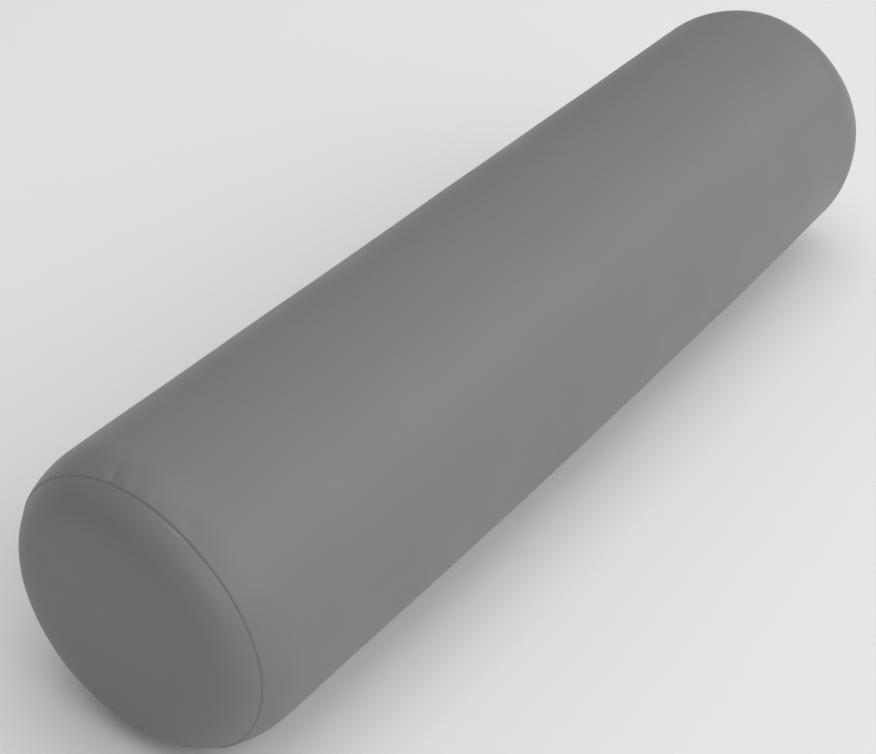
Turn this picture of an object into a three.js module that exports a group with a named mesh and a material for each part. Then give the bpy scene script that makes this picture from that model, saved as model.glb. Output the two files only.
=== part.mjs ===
// A knee roll: a firm round bolster in a cover of grey coated fabric, lying on its side.
// Millimetres, +Z up. Its length runs along X, and the origin is the middle of the flat
// strip that it rests on.
//
// The cover is one side panel wrapped round the filling and a round panel sewn on at each
// end. The side panel and its filling are one solid. The end panels are sheets.

import * as THREE from 'three';

// Overall size
const LENGTH = 600;
const RADIUS = 75;

// Where it rests, the filling gives, and the sides bulge a little low down at mid-length
const REST_SAG = 2;
const BULGE = 3.5;
const BULGE_TOP = THREE.MathUtils.degToRad(110);

// The cover's sheet, and the clearance between a sheet and the filling behind it
const SHEET = 1.6;
const CLEARANCE = 0.3;

// The end seam: where an end panel starts, and how far back from the end face that is
const SEAM_RADIUS = 69.3;
const SEAM_SETBACK = 14.8;

// The shoulder: its length up to the seam, how far it drops there, and how late it drops
const SHOULDER_LENGTH = 23;
const SHOULDER_DROP = 4.7;
const SHOULDER_POWER = 3;

// How flat an end panel is: 2 would be a dome, and a high number a flat disc
const END_FLATNESS = 11;

// Facets round the roll, above the flat strip and across it, and steps along its outline
const ROUND_FACETS = 60;
const STRIP_FACETS = 4;
const TUBE_STEPS = 5;
const SHOULDER_STEPS = 7;
const END_STEPS = 7;

// Worked out from the sizes above
const AXIS_HEIGHT = RADIUS - REST_SAG;
const SEAM_X = LENGTH / 2 - SEAM_SETBACK;
const WALL_X = SEAM_X - CLEARANCE;
const STRIP_HALF_ANGLE = Math.acos(AXIS_HEIGHT / RADIUS);

// The start of each of so many even steps from one number to another.
function evenSteps(from, to, count) {
  return Array.from({ length: count }, (_, i) => from + (i / count) * (to - from));
}

// Angles round the roll, from straight down towards +Y: up and over from one edge of the
// flat strip to the other, and back across it.
const ANGLES = [
  ...evenSteps(STRIP_HALF_ANGLE, 2 * Math.PI - STRIP_HALF_ANGLE, ROUND_FACETS),
  ...evenSteps(-STRIP_HALF_ANGLE, STRIP_HALF_ANGLE, STRIP_FACETS),
];

// Extra radius where the weight pushes the sides out. It fades to nothing at the seams.
function bulgeAt(x, angle) {
  const fromDown = Math.min(Math.abs(angle), 2 * Math.PI - angle);
  const share = (fromDown - STRIP_HALF_ANGLE) / (BULGE_TOP - STRIP_HALF_ANGLE);
  const round = Math.sin(Math.PI * THREE.MathUtils.clamp(share, 0, 1)) ** 2;
  const along = Math.max(0, 1 - (x / SEAM_X) ** 2);
  return BULGE * round * along;
}

// A point of the surface, kept above the surface that the roll rests on.
function surfacePoint(x, radius, angle) {
  const r = radius + bulgeAt(x, angle);
  const z = AXIS_HEIGHT - r * Math.cos(angle);
  return new THREE.Vector3(x, r * Math.sin(angle), Math.max(0, z));
}

// Outlines are lists of [x, radius] for the end at +X.

// The side panel from mid-length to the seam.
function sidePanelOutline() {
  const shoulderX = WALL_X - SHOULDER_LENGTH;
  const outline = [];
  for (let i = 0; i < TUBE_STEPS; i++) {
    outline.push([((i + 0.5) / TUBE_STEPS) * shoulderX, RADIUS]);
  }
  for (let i = 0; i <= SHOULDER_STEPS; i++) {
    const t = i / SHOULDER_STEPS;
    outline.push([shoulderX + t * SHOULDER_LENGTH, RADIUS - SHOULDER_DROP * t ** SHOULDER_POWER]);
  }
  return outline;
}

// A face of the end, from its rim to the axis, this far inside the outer face.
function endOutline(inset) {
  const rim = SEAM_RADIUS - inset;
  const depth = SEAM_SETBACK - inset;
  const outline = [];
  for (let i = 0; i <= END_STEPS; i++) {
    const rise = Math.sin(((i / END_STEPS) * Math.PI) / 2);
    outline.push([SEAM_X + depth * rise, rim * (1 - rise) ** (1 / END_FLATNESS)]);
  }
  return outline;
}

// The same outline at the end at -X, in the order that keeps its faces pointing out.
function mirrored(outline) {
  return outline.map(([x, radius]) => [-x, radius]).reverse();
}

// A closed surface round the roll's axis from an outline that starts and ends on the axis.
function solidFrom(outline) {
  const rings = outline.slice(1, -1);
  const size = ANGLES.length;
  const points = rings.flatMap(([x, radius]) => ANGLES.map((a) => surfacePoint(x, radius, a)));
  const startPole = points.length;
  const endPole = startPole + 1;
  points.push(new THREE.Vector3(outline[0][0], 0, AXIS_HEIGHT));
  points.push(new THREE.Vector3(outline.at(-1)[0], 0, AXIS_HEIGHT));

  const index = [];
  const lastRing = (rings.length - 1) * size;
  for (let j = 0; j < size; j++) {
    const next = (j + 1) % size;
    index.push(startPole, next, j);
    for (let start = 0; start < lastRing; start += size) {
      index.push(start + j, start + next, start + size + j);
      index.push(start + next, start + size + next, start + size + j);
    }
    index.push(endPole, lastRing + j, lastRing + next);
  }

  const geometry = new THREE.BufferGeometry().setFromPoints(points);
  geometry.setIndex(index);
  geometry.computeVertexNormals();
  return geometry;
}

// The filled body: the side panel outside, and at each end a face that backs the end panel.
// A narrow wall at the seam stands behind the end panel's rim.
function bodyGeometry() {
  const backing = endOutline(SHEET + CLEARANCE);
  const [, wallRadius] = backing[0];
  const half = [...sidePanelOutline(), [WALL_X, wallRadius], ...backing];
  return solidFrom([...mirrored(half), ...half]);
}

// An end panel: a disc of the sheet, shaped over the end of the filling.
function endPanelOutline() {
  return [...endOutline(SHEET).reverse(), ...endOutline(0)];
}

// Every panel is cut from the same coated fabric, and each mesh has a material of its own.
function coatedFabric() {
  return new THREE.MeshStandardMaterial({ color: '#7d7e7e', roughness: 0.5, metalness: 0 });
}

function piece(name, geometry) {
  const mesh = new THREE.Mesh(geometry, coatedFabric());
  mesh.name = name;
  return mesh;
}

const kneeRoll = new THREE.Group();
kneeRoll.add(piece('roll_body', bodyGeometry()));
kneeRoll.add(piece('end_panel_front', solidFrom(mirrored(endPanelOutline()))));
kneeRoll.add(piece('end_panel_rear', solidFrom(endPanelOutline())));

export default kneeRoll;
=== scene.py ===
"""A knee roll: a firm round bolster in a cover of grey coated fabric, lying on a pale floor.

The cover is a side panel wrapped round the filling and a round panel sewn on at each end.
Each piece is a closed skin round the roll's axis, made from an outline of rows of x and
radius, and pushed in and out along that outline's normal by undulations, puckers and seams.
"""

import math

import bpy
import numpy as np
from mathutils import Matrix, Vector


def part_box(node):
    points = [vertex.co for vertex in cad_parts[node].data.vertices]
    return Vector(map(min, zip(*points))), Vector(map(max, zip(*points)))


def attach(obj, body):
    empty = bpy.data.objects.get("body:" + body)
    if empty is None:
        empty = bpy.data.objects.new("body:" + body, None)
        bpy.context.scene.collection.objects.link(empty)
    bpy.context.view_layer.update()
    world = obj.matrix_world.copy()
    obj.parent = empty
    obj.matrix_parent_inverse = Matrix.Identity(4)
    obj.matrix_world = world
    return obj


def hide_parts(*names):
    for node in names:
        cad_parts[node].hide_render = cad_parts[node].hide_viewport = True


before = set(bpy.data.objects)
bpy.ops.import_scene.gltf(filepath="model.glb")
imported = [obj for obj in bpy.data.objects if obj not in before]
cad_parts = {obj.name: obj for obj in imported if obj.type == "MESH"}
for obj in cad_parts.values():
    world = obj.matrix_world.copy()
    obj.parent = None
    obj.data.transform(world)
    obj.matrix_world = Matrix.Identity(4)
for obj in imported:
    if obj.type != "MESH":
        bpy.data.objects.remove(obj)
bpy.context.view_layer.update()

# Sizes in metres, besides those that the frame gives. The side panel's shoulder drops towards
# its seam. Low down its sides bulge, up to this angle from straight down. An end panel is a
# sheet this thick, this clear of the filling behind it.
RADIUS = 0.075
SEAM_RADIUS = 0.0695
RIM_RADIUS = 0.0696
SHOULDER_LENGTH = 0.0200
SHOULDER_DROP = 0.0048
BULGE = 0.0035
BULGE_TOP = math.radians(110)
SHEET = 0.0012
CLEARANCE = 0.0003

# An end rises from its rim to its middle, by a low dome and by an edge that is much steeper
DOME_SHARE = 0.15
DOME_POWER = 6
EDGE_POWER = 10

# The end seam. The side panel bends in over this length and by this turn, the end panel by
# this radius and turn, and then they lie against each other this deep, nearly touching.
SIDE_FOLD = 0.0009
SIDE_TURN = math.radians(31)
PANEL_FOLD = 0.0005
PANEL_TURN = math.radians(12)
CREASE_DEPTH = 0.0030
CREASE_GAP = 0.00004

# The end seam strays from a true circle in waves: how many round it, how high, and the angle in
# degrees where one stands out. What lies within this reach of the seam goes with it.
WANDERS = [(2, 0.00032, -53), (5, 0.00033, -33)]
WANDER_REACH = 0.008

# The lengthways seam that closes the side panel lies low at the back, out of the photo's view
CLOSING_SEAM = math.radians(52)

# Rows of the mesh along the side panel's half, the last of them behind the end panel
TUBE_ROWS = 32
SHOULDER_ROWS = 30
SIDE_FOLD_ROWS = 13
BACKING_ROWS = 12

# Rows of the mesh along an end panel: its hidden face, its fold at the seam and its outer face
INSIDE_ROWS = 16
PANEL_FOLD_ROWS = 7
FACE_ROWS = 56

# Rows crowd together towards the seam, the more the higher these powers are. Before that, an
# end's rows run to this share of the way to the axis. An end panel's hidden face starts at this
# share of its rim's radius.
SHOULDER_CROWDING = 1.5
END_CROWDING = 1.6
END_STOP = 0.99
INSIDE_START = 0.995

# Columns of the mesh round the roll. Within this reach of the closing seam the even ones give
# way to these, in metres from it: half a millimetre apart, and a quarter in the crease.
COLUMNS = 540
CLOSE_COLUMNS = np.concatenate([np.linspace(-5, 5, 21), np.linspace(-0.75, 0.75, 4)]) / 1000
CLOSE_REACH = 0.0055

# Heights within this of the floor's are blended into it. One that was level with the floor is
# this high afterwards.
CONTACT_BLEND = 0.0010
GROUNDED = CONTACT_BLEND / 4

# The side panel's cloth settles over its filling on a coarse grid, in this many frames. The
# filling has lumps this high, which fade out at the end seams. The cap is on how far the cloth
# then stands out or in.
CLOTH_ROWS = 61
CLOTH_COLUMNS = 96
CLOTH_FRAMES = 20
CLOTH_PRESSURE = 4
CLOTH_STIFFNESS = 40
CLOTH_SHEAR = 20
CLOTH_DRAG = 10
LUMPS = 0.0002
LUMPS_FADE = 0.012
CLOTH_CAP = 0.0008

_, body_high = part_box("roll_body")
rear_low, rear_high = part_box("end_panel_rear")
SEAM_X = rear_low[0]
END_X = rear_high[0]
END_DEPTH = END_X - SEAM_X
AXIS_Z = body_high[2] - RADIUS


# Outlines

def end_rise(share):
    """How far an end has risen, as a share of its depth, at this share of its rim's radius."""
    dome = DOME_SHARE * share ** DOME_POWER
    return 1 - dome - (1 - DOME_SHARE) * share ** EDGE_POWER


def end_outline(rim, depth, first, steps):
    """An end's outline from this share of its rim's radius to just short of the axis."""
    share = first * (1 - np.linspace(0, END_STOP, steps) ** END_CROWDING)
    return np.stack([SEAM_X + depth * end_rise(share), rim * share], axis=1)


def bend(place, heading, headings, radius):
    """Points of an arc that bends to the right and has this heading at this place."""
    def left(h):
        return np.stack([-np.sin(h), np.cos(h)], axis=-1)

    return place + radius * (left(headings) - left(heading))


def shoulder_radius(x):
    """The side panel's even radius this far along the roll, without its bulge."""
    share = np.clip(1 - (SEAM_X - np.abs(x)) / SHOULDER_LENGTH, 0, None)
    return RADIUS - SHOULDER_DROP * share ** 2


def side_panel_outline():
    """The side panel's half: to its seam, into the crease and behind the end panel.

    Gives its outline and how many of the last rows are hidden.
    """
    shoulder_x = SEAM_X - SHOULDER_LENGTH
    edge_x = SEAM_X - CREASE_GAP / 2
    lip_x = edge_x - SIDE_FOLD
    tube = np.linspace(0, shoulder_x, TUBE_ROWS)[1:-1]
    crowded = 1 - np.linspace(1, 0, SHOULDER_ROWS) ** SHOULDER_CROWDING
    x = np.concatenate([tube, shoulder_x + (lip_x - shoulder_x) * crowded])
    outer = np.stack([x, shoulder_radius(x)], axis=1)

    share = (lip_x - shoulder_x) / SHOULDER_LENGTH
    heading = -math.atan(2 * SHOULDER_DROP / SHOULDER_LENGTH * share)
    headings = np.linspace(heading, heading - SIDE_TURN, SIDE_FOLD_ROWS)
    radius = SIDE_FOLD / (math.sin(heading) - math.sin(heading - SIDE_TURN))
    lip = bend(outer[-1], heading, headings, radius)

    foot = SEAM_RADIUS - CREASE_DEPTH - CLEARANCE
    wall = np.array([[edge_x, (SEAM_RADIUS + foot) / 2], [edge_x, foot]])
    backing = end_outline(foot, END_DEPTH - SHEET - CLEARANCE, 1, BACKING_ROWS)
    return np.concatenate([outer[:-1], lip, wall, backing]), len(wall) + len(backing)


def end_panel_outline():
    """An end panel, from the axis along its hidden face, round its edge and over its face.

    Gives its outline and how many of the first rows are hidden.
    """
    edge_x = SEAM_X + CREASE_GAP / 2
    foot = SEAM_RADIUS - CREASE_DEPTH
    inside = end_outline(RIM_RADIUS - SHEET, END_DEPTH - SHEET, INSIDE_START, INSIDE_ROWS)[::-1]
    hem = np.array([
        [edge_x + SHEET, foot],
        [edge_x, foot],
        [edge_x, (foot + SEAM_RADIUS) / 2],
    ])

    steepness = DOME_SHARE * DOME_POWER + (1 - DOME_SHARE) * EDGE_POWER
    leaving = -math.atan(RIM_RADIUS / (END_DEPTH * steepness))
    headings = np.linspace(leaving + PANEL_TURN, leaving, PANEL_FOLD_ROWS)
    fold_x = CREASE_GAP / 2 + PANEL_FOLD * (math.sin(leaving + PANEL_TURN) - math.sin(leaving))
    face = end_outline(RIM_RADIUS, END_DEPTH, 1 - fold_x / (END_DEPTH * steepness), FACE_ROWS)
    edge = bend(face[0], leaving, headings, PANEL_FOLD)
    return np.concatenate([inside, hem, edge[:-1], face]), len(inside) + len(hem)


# Unevenness, as functions of the place along the roll and the angle round it

# Sets of waves: seed, how many, and the ranges of how many waves go round the roll and how many
# go into a metre along it
LUMP_WAVES = (11, 24, (2, 9), (1.5, 12))
UNDULATION_WAVES = (12, 16, (5, 16), (3, 18))
RIPPLE_WAVES = (13, 18, (18, 44), (0, 14))
PULL_WAVES = (14, 8, (0, 0), (20, 60))
RIM_WAVES = (15, 14, (12, 40), (0, 0))
STRENGTH_WAVES = (16, 6, (2, 5), (0, 0))
RUB_WAVES = (17, 20, (3, 40), (0, 0))

# The side panel's cloth has low undulations all over and fine ripples by the end seams. The
# ripples' strength varies round the roll. They rise over the first length from the seam, and
# fade over the second.
UNDULATION = 0.00006
RIPPLE = 0.00011
RIPPLE_STRENGTH = 0.6
RIPPLE_VARIES = 0.4
RIPPLE_RISE = 0.003
RIPPLE_FADE = 0.008

# The puckers and swellings by the front seam that the photo shows. Angles are from straight
# down, in degrees: x, angle, length, width, turn, height.
MARKS = [
    (-0.2818, -186.2, 0.0052, 0.0024, -6, -0.00070),
    (-0.2827, -191.0, 0.0030, 0.0025, 0, 0.00016),
    (-0.2820, -180.4, 0.0026, 0.0030, 0, 0.00022),
    (-0.2836, -175.6, 0.0026, 0.0016, 0, -0.00018),
    (-0.2826, -169.4, 0.0020, 0.0024, 0, 0.00016),
    (-0.2838, -165.2, 0.0014, 0.0018, 0, -0.00010),
    (-0.2828, -156.5, 0.0018, 0.0022, 0, 0.00020),
    (-0.2800, -153.0, 0.0036, 0.0044, 0, -0.00042),
]

# The closing seam's crease, and the soft edges on both sides of it, this far out and varying in
# height by this share. It fades out over this length before the end seams.
CLOSING_DEPTH = 0.0009
CLOSING_WIDTH = 0.00055
CLOSING_EDGE_HEIGHT = 0.00045
CLOSING_EDGE_OUT = 0.0022
CLOSING_EDGE_WIDTH = 0.0018
CLOSING_EDGE_VARIES = 0.25
CLOSING_FADE = 0.004

# An end panel's face has slow waves and, by its rim, fine ripples that fade over this length. The
# waves are in radians to a metre, across the face and down it, then their phase, and the part of
# the phase that has its sign changed between the two ends.
FACE_WAVE_HEIGHT = 0.00012
FACE_WAVES = [(38, 21, 0, 0.6), (-33, 29, 2.1, 0)]
RIM_RIPPLE = 0.00005
RIM_FADE = 0.006

# The end seams are rubbed a little, most at this distance from the seam
RUB_WEAR = 0.02
RUB_OUT = 0.0012
RUB_WIDTH = 0.0010

# A short pale streak on the front panel's edge, just inside the seam: angle, how far from the seam
# along the roll, half-length and half-width
PALE_STREAK_ANGLE = math.radians(-153.8)
PALE_STREAK_X = 0.0007
PALE_STREAK_LENGTH = 0.0050
PALE_STREAK_WIDTH = 0.00024
PALE_STREAK_STRENGTH = 0.45


def waves(kind, x, angle):
    """A seeded sum of waves, about -1 to 1, that meets itself round the roll."""
    seed, count, round_range, along_range = kind
    rng = np.random.default_rng(seed)
    rounds = rng.integers(round_range[0], round_range[1] + 1, count)
    alongs = rng.uniform(along_range[0], along_range[1], count) * rng.choice([-1, 1], count)
    phases = rng.uniform(0, 2 * math.pi, count)
    total = 0
    for k, w, phase in zip(rounds, alongs, phases):
        total = total + np.sin(k * angle + 2 * math.pi * w * x + phase)
    return total / math.sqrt(2 * count)


def turn_from(angle, place):
    """Signed angle from this place round the roll, at most half a turn."""
    return (angle - place + math.pi) % (2 * math.pi) - math.pi


def arc_from(angle, place):
    """Signed distance from this place round the roll, in metres."""
    return turn_from(angle, place) * RADIUS


def mound(x, angle, at_x, at_angle, length, width, turn):
    """A soft round-topped mound of height 1, whose length is turned this far from the roll's."""
    along = x - at_x
    across = arc_from(angle, math.radians(at_angle))
    c, s = math.cos(math.radians(turn)), math.sin(math.radians(turn))
    lengthways = (c * along + s * across) / length
    widthways = (c * across - s * along) / width
    return np.exp(-(lengthways ** 2) - widthways ** 2)


def closing_seam(x, angle):
    """The lengthways seam: a narrow crease between two softly raised edges."""
    arc = arc_from(angle, CLOSING_SEAM)
    fade = np.clip((SEAM_X - np.abs(x)) / CLOSING_FADE, 0, 1)
    crease = -CLOSING_DEPTH * np.exp(-((arc / CLOSING_WIDTH) ** 2))
    beside = (np.abs(arc) - CLOSING_EDGE_OUT) / CLOSING_EDGE_WIDTH
    edges = CLOSING_EDGE_HEIGHT * np.exp(-(beside ** 2))
    pull = 1 + CLOSING_EDGE_VARIES * waves(PULL_WAVES, x, 0 * angle)
    return (crease + edges * pull) * fade


def side_push(x, angle):
    """How far the side panel stands out from its even outline."""
    from_seam = SEAM_X - np.abs(x)
    near_seam = np.exp(-np.clip(from_seam, 0, None) / RIPPLE_FADE)
    off_seam = np.clip(from_seam / RIPPLE_RISE, 0, 1)
    strength = RIPPLE_STRENGTH + RIPPLE_VARIES * waves(STRENGTH_WAVES, x, angle)
    push = UNDULATION * waves(UNDULATION_WAVES, x, angle)
    ripple = waves(RIPPLE_WAVES, x, angle)
    push = push + RIPPLE * near_seam * off_seam * strength * ripple
    for *shape, height in MARKS:
        push = push + height * mound(x, angle, *shape)
    return push + closing_seam(x, angle)


def end_push(x, angle, radius):
    """How far an end panel stands out from its even outline."""
    near_rim = np.exp(-np.clip(RIM_RADIUS - radius, 0, None) / RIM_FADE)
    y, z = radius * np.sin(angle), radius * np.cos(angle)
    slow = sum(
        np.sin(across * y + down * z + phase + end_phase * np.sign(x))
        for across, down, phase, end_phase in FACE_WAVES
    )
    ripple = waves(RIM_WAVES, x, angle)
    return FACE_WAVE_HEIGHT * slow * (1 - near_rim) + RIM_RIPPLE * near_rim * ripple


def seam_wander(x, radius, angle):
    """How far the end seams and what is next to them stray outwards from a true circle."""
    across = np.maximum(np.abs(np.abs(x) - SEAM_X), SEAM_RADIUS - radius) / WANDER_REACH
    stray = sum(height * np.cos(n * (angle - math.radians(peak))) for n, height, peak in WANDERS)
    return stray * np.exp(-(across ** 2))


def wear_at(x, radius, angle):
    """How pale the cover is made, from 0 to 1: rubbed a little along the seams, and one short pale
    streak.
    """
    rubbed = waves(RUB_WAVES, x, angle)
    from_seam = np.hypot(np.abs(x) - SEAM_X, radius - SEAM_RADIUS)
    edge = RUB_WEAR * (1 + rubbed) * np.exp(-((from_seam - RUB_OUT) / RUB_WIDTH) ** 2)
    along = arc_from(angle, PALE_STREAK_ANGLE) / PALE_STREAK_LENGTH
    across = (-x - SEAM_X - PALE_STREAK_X) / PALE_STREAK_WIDTH
    return np.clip(edge + PALE_STREAK_STRENGTH * np.exp(-(along ** 2) - across ** 2), 0, 1)


# Meshes

def linked(name, data):
    """A new object in the scene."""
    thing = bpy.data.objects.new(name, data)
    bpy.context.scene.collection.objects.link(thing)
    return thing


def angles_round(columns, seam=None):
    """Angles round the roll. Where a seam is given, columns crowd together at it."""
    even = np.linspace(0, 2 * math.pi, columns, endpoint=False)
    if seam is None:
        return even
    spare = np.abs(turn_from(even, seam)) > CLOSE_REACH / RADIUS
    close = (seam + CLOSE_COLUMNS / RADIUS) % (2 * math.pi)
    return np.sort(np.concatenate([even[spare], close]))


def bulge_at(x, angle):
    """Extra radius where the weight pushes the sides out, fading to nothing at the seams."""
    down = np.abs(turn_from(angle, 0))
    strip = math.acos(AXIS_Z / RADIUS)
    share = np.clip((down - strip) / (BULGE_TOP - strip), 0, 1)
    along = np.clip(1 - (x / SEAM_X) ** 2, 0, None)
    return BULGE * np.sin(math.pi * share) ** 2 * along


def flattened(z):
    """Heights kept above the floor, with a soft change from the side to the flat strip."""
    soft = (z + CONTACT_BLEND) ** 2 / (4 * CONTACT_BLEND)
    return np.where(np.abs(z) < CONTACT_BLEND, soft, np.clip(z, 0, None))


def points_at(x, radius, angles):
    """Points this far along the roll and from its axis, round these angles, above the floor."""
    y = radius * np.sin(angles)
    z = flattened(AXIS_Z - radius * np.cos(angles))
    return np.stack(np.broadcast_arrays(x, y, z), axis=2)


def from_axis(points):
    """How far these points are from the roll's axis."""
    return np.hypot(points[..., 1], points[..., 2] - AXIS_Z)


def quads_between(rows, columns):
    """The faces of a grid of points that closes round the roll."""
    at = np.arange(rows * columns).reshape(rows, columns)
    ahead = np.roll(at, -1, axis=1)
    return np.stack([at[:-1], ahead[:-1], ahead[1:], at[1:]], axis=2).reshape(-1, 4).tolist()


def skin(name, outline, angles, push):
    """A closed mesh round the roll's axis. Its outline starts and ends near the axis."""
    ahead = np.gradient(outline, axis=0)
    ahead /= np.linalg.norm(ahead, axis=1)[:, None]
    x = outline[:, 0, None] - push * ahead[:, 1, None]
    radius = outline[:, 1, None] + push * ahead[:, 0, None]
    radius = radius + bulge_at(x, angles) + seam_wander(x, radius, angles)
    rings = points_at(x, radius, angles)

    rows, columns = radius.shape
    poles = [rings[0].mean(axis=0), rings[-1].mean(axis=0)]
    points = np.concatenate([rings.reshape(-1, 3), poles])
    pole = rows * columns
    start, end = np.arange(columns), np.arange(pole - columns, pole)
    caps = [(pole, b, a) for a, b in zip(start, np.roll(start, -1))]
    caps += [(pole + 1, a, b) for a, b in zip(end, np.roll(end, -1))]

    mesh = bpy.data.meshes.new(name)
    mesh.from_pydata(points.tolist(), [], quads_between(rows, columns) + caps)
    mesh.validate()
    mesh.polygons.foreach_set("use_smooth", np.ones(len(mesh.polygons), dtype=bool))
    wear = wear_at(x, radius, angles).ravel()
    worn = mesh.attributes.new("wear", "FLOAT", "POINT")
    worn.data.foreach_set("value", np.append(wear, [0, 0]))
    return linked(name, mesh)


# The side panel's cloth

def settled(before, held):
    """Where a cloth with these points settles, blown up by the filling and with some held."""
    mesh = bpy.data.meshes.new("cloth")
    mesh.from_pydata(before.reshape(-1, 3).tolist(), [], quads_between(*held.shape))
    cloth = linked("cloth", mesh)
    pins = cloth.vertex_groups.new(name="pins")
    pins.add(np.flatnonzero(held).tolist(), 1, "REPLACE")
    modifier = cloth.modifiers.new("settle", "CLOTH")
    modifier.collision_settings.use_collision = False
    settings = modifier.settings
    settings.vertex_group_mass = "pins"
    settings.use_pressure = True
    settings.uniform_pressure_force = CLOTH_PRESSURE
    settings.tension_stiffness = CLOTH_STIFFNESS
    settings.compression_stiffness = CLOTH_STIFFNESS
    settings.shear_stiffness = CLOTH_SHEAR
    settings.air_damping = CLOTH_DRAG
    settings.effector_weights.gravity = 0

    for frame_number in range(1, CLOTH_FRAMES + 1):
        bpy.context.scene.frame_set(frame_number)
    result = cloth.evaluated_get(bpy.context.evaluated_depsgraph_get()).data
    after = np.empty(before.size, dtype=np.float32)
    result.vertices.foreach_get("co", after)
    bpy.data.objects.remove(cloth)
    bpy.data.meshes.remove(mesh)
    bpy.context.scene.frame_set(1)
    return after.reshape(before.shape)


def smoothing(gap):
    """Weights that smooth evenly spaced samples, for gaps counted in their steps."""
    weight = np.exp(-(gap ** 2))
    return weight / weight.sum(axis=1, keepdims=True)


def cloth_push(x, angles):
    """How far the side panel stands out where its cloth has settled over the filling."""
    rows = np.linspace(-SEAM_X, SEAM_X, CLOTH_ROWS)
    columns = angles_round(CLOTH_COLUMNS)
    even = shoulder_radius(rows)[:, None] + bulge_at(rows[:, None], columns)
    inside = 1 - np.exp((np.abs(rows) - SEAM_X) / LUMPS_FADE)[:, None]
    lumps = LUMPS * waves(LUMP_WAVES, rows[:, None], columns) * inside
    before = points_at(rows[:, None], even + lumps, columns)
    held = before[..., 2] < GROUNDED
    held[[0, -1]] = True

    out = from_axis(settled(before, held)) - from_axis(before) + lumps
    out = np.clip(out, -CLOTH_CAP, CLOTH_CAP)
    along = smoothing((x[:, None] - rows) / (rows[1] - rows[0]))
    across = smoothing(turn_from(angles[:, None], columns) / (columns[1] - columns[0]))
    return along @ out @ across.T


# Pieces

def mirrored(outline):
    """The same outline at the front end, in the order that keeps its faces pointing out."""
    return (outline * [-1, 1])[::-1]


def make_side_panel():
    """The side panel. Its rows behind the end panels stay even."""
    half, hidden = side_panel_outline()
    outline = np.concatenate([mirrored(half), [[0, RADIUS]], half])
    angles = angles_round(COLUMNS, CLOSING_SEAM)
    push = side_push(outline[:, 0, None], angles) + cloth_push(outline[:, 0], angles)
    push[:hidden] = 0
    push[-hidden:] = 0
    return skin("side_panel", outline, angles, push)


def make_end_panel(name, front):
    """An end panel, at the front or at the rear. Its hidden face stays even."""
    outline, hidden = end_panel_outline()
    angles = angles_round(COLUMNS)
    side = -1 if front else 1
    push = end_push(side * outline[:, 0, None], angles, outline[:, 1, None])
    push[:hidden] = 0
    if front:
        outline, push = mirrored(outline), push[::-1]
    return skin(name, outline, angles, push)


# Materials

# The two colours that a panel's cloth is clouded between, and its colour where it is worn or
# streaked pale. The end panels are a trace greener: a painted shade tint, the green cast of their
# shaded faces.
SIDE_COLOURS = (0.1724, 0.1724, 0.1724), (0.1859, 0.1859, 0.1859)
END_SHADE_TINT_COLOURS = (0.1694, 0.1748, 0.1694), (0.1829, 0.1886, 0.1829)
WORN_AND_STREAK = (0.34, 0.34, 0.34)

# The clouding in the cloth's colour and that in its gloss: clouds to a metre, and layers of
# detail. The gloss's clouds, from this low to this high, give the roughness below.
COLOUR_CLOUDS = (11, 3)
GLOSS_CLOUDS = (24, 4)
CLOUD_LOW = 0.3
CLOUD_HIGH = 0.7
ROUGHNESS_LOW = 0.40
ROUGHNESS_HIGH = 0.48

# The grain: cells to a metre, and how strong and how high its relief is
GRAIN_CELLS = 1100
GRAIN_STRENGTH = 0.12
GRAIN_HEIGHT = 0.00012


def new_material(name):
    """A material with nodes, and its shader."""
    material = bpy.data.materials.new(name)
    material.use_nodes = True
    return material, material.node_tree.nodes["Principled BSDF"]


def coated_fabric(name, dark, light):
    """Grey vinyl: a fine grain, a soft sheen, and faint clouding in its colour and its gloss."""
    material, shader = new_material(name)
    nodes, links = material.node_tree.nodes, material.node_tree.links
    place = nodes.new("ShaderNodeTexCoord").outputs["Object"]

    def noise(scale, detail):
        node = nodes.new("ShaderNodeTexNoise")
        node.inputs["Scale"].default_value = scale
        node.inputs["Detail"].default_value = detail
        links.new(place, node.inputs["Vector"])
        return node.outputs["Fac"]

    def mix(factor, second):
        node = nodes.new("ShaderNodeMix")
        node.data_type = "RGBA"
        node.inputs["B"].default_value = (*second, 1)
        links.new(factor, node.inputs["Factor"])
        return node

    clouded = mix(noise(*COLOUR_CLOUDS), light)
    clouded.inputs["A"].default_value = (*dark, 1)
    wear = nodes.new("ShaderNodeAttribute")
    wear.attribute_name = "wear"
    worn = mix(wear.outputs["Fac"], WORN_AND_STREAK)
    links.new(clouded.outputs["Result"], worn.inputs["A"])
    links.new(worn.outputs["Result"], shader.inputs["Base Color"])

    gloss = nodes.new("ShaderNodeMapRange")
    gloss.inputs["From Min"].default_value = CLOUD_LOW
    gloss.inputs["From Max"].default_value = CLOUD_HIGH
    gloss.inputs["To Min"].default_value = ROUGHNESS_LOW
    gloss.inputs["To Max"].default_value = ROUGHNESS_HIGH
    links.new(noise(*GLOSS_CLOUDS), gloss.inputs["Value"])
    links.new(gloss.outputs["Result"], shader.inputs["Roughness"])

    grain = nodes.new("ShaderNodeTexVoronoi")
    grain.feature = "SMOOTH_F1"
    grain.inputs["Scale"].default_value = GRAIN_CELLS
    links.new(place, grain.inputs["Vector"])
    bump = nodes.new("ShaderNodeBump")
    bump.inputs["Strength"].default_value = GRAIN_STRENGTH
    bump.inputs["Distance"].default_value = GRAIN_HEIGHT
    links.new(grain.outputs["Distance"], bump.inputs["Height"])
    links.new(bump.outputs["Normal"], shader.inputs["Normal"])
    return material


# Stage, lights and camera

FLOOR_HALF = 30.0
FLOOR_DROP = 0.0001
FLOOR_COLOUR = (0.85, 0.85, 0.85)
FLOOR_ROUGHNESS = 0.8

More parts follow.
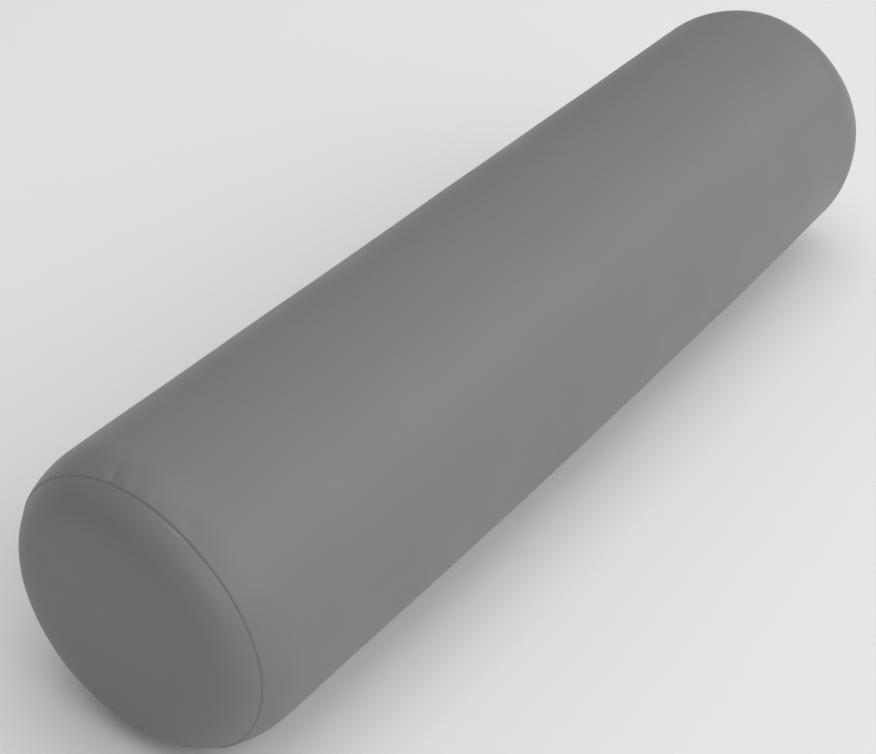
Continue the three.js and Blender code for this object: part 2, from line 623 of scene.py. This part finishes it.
# Soft boxes, all of one size and this far from the roll: name, azimuth, elevation, watts. An
# azimuth of 0 is in front of the roll's long side, and 90 is past its rear end.
BOX_WIDTH = 3.6
BOX_HEIGHT = 3.0
BOX_DISTANCE = 4.0
BOX_COLOUR = (1, 0.98, 1)
LIGHTS = [
    ("front_high", -10, 38, 51),
    ("front_low", -10, 14, 15),
    ("front_rear_high", 40, 38, 21),
    ("front_rear_low", 40, 14, 15),
    ("rear", 65, 38, 12),
    ("back_rear", 130, 38, 7.6),
    ("back", 170, 38, 9.2),
    ("top", 0, 88, 49.5),
]

# The light from all round is a little green, as the photo's shadows are. The boxes make up for it.
WORLD_COLOUR = (0.962, 1.018, 0.962)
WORLD_LIGHT = 0.33

# The camera, from where the photo was taken: its place in metres, the azimuth and elevation
# that it looks from in degrees, and its sensor and lens in millimetres
CAMERA_PLACE = (-0.66751, -0.43459, 0.60620)
CAMERA_AZIMUTH = -54.282
CAMERA_ELEVATION = 35.779
SENSOR_WIDTH = 36.0
LENS = 73.123
CLIP_START = 0.01
CLIP_END = 50


def direction(azimuth, elevation):
    """From the roll towards a place this far round it and this high, in degrees."""
    a, e = math.radians(azimuth), math.radians(elevation)
    return Vector((math.sin(a) * math.cos(e), -math.cos(a) * math.cos(e), math.sin(e)))


def aim(thing, ahead):
    """Turns a light or a camera to look this way, with its top up."""
    thing.rotation_mode = "QUATERNION"
    thing.rotation_quaternion = ahead.to_track_quat("-Z", "Y")


def make_stage():
    """The floor, just under the roll."""
    mesh = bpy.data.meshes.new("floor")
    side = FLOOR_HALF
    corners = [(-side, -side), (side, -side), (side, side), (-side, side)]
    mesh.from_pydata([(x, y, -FLOOR_DROP) for x, y in corners], [], [(0, 1, 2, 3)])
    paint, shader = new_material("floor_paint")
    shader.inputs["Base Color"].default_value = (*FLOOR_COLOUR, 1)
    shader.inputs["Roughness"].default_value = FLOOR_ROUGHNESS
    mesh.materials.append(paint)
    floor = linked("floor", mesh)


def make_lights():
    """The soft boxes, and the light from all round."""
    middle = Vector((0, 0, AXIS_Z))
    for name, azimuth, elevation, watts in LIGHTS:
        light = bpy.data.lights.new(name, "AREA")
        light.shape = "RECTANGLE"
        light.size = BOX_WIDTH
        light.size_y = BOX_HEIGHT
        light.color = BOX_COLOUR
        light.energy = watts
        lamp = linked(name, light)
        out = direction(azimuth, elevation)
        lamp.location = middle + out * BOX_DISTANCE
        aim(lamp, -out)

    world = bpy.data.worlds.new("studio")
    bpy.context.scene.world = world
    world.use_nodes = True
    background = world.node_tree.nodes["Background"]
    background.inputs["Color"].default_value = (*WORLD_COLOUR, 1)
    background.inputs["Strength"].default_value = WORLD_LIGHT


def make_camera():
    """The photo's camera."""
    data = bpy.data.cameras.new("camera")
    data.sensor_width = SENSOR_WIDTH
    data.lens = LENS
    data.clip_start = CLIP_START
    data.clip_end = CLIP_END
    camera = linked("camera", data)
    camera.location = CAMERA_PLACE
    aim(camera, -direction(CAMERA_AZIMUTH, CAMERA_ELEVATION))
    bpy.context.scene.camera = camera


make_camera()
make_lights()
make_stage()
bpy.context.scene.view_settings.view_transform = "Standard"

side_panel = make_side_panel()
front_panel = make_end_panel("front_end_panel", front=True)
rear_panel = make_end_panel("rear_end_panel", front=False)

# The end panels take the colours that carry the painted green shade tint
for piece, node, colours in (
    (side_panel, "roll_body", SIDE_COLOURS),
    (front_panel, "end_panel_front", END_SHADE_TINT_COLOURS),
    (rear_panel, "end_panel_rear", END_SHADE_TINT_COLOURS),
):
    piece.data.materials.append(coated_fabric(piece.name + "_vinyl", *colours))
    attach(piece, "root")
    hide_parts(node)
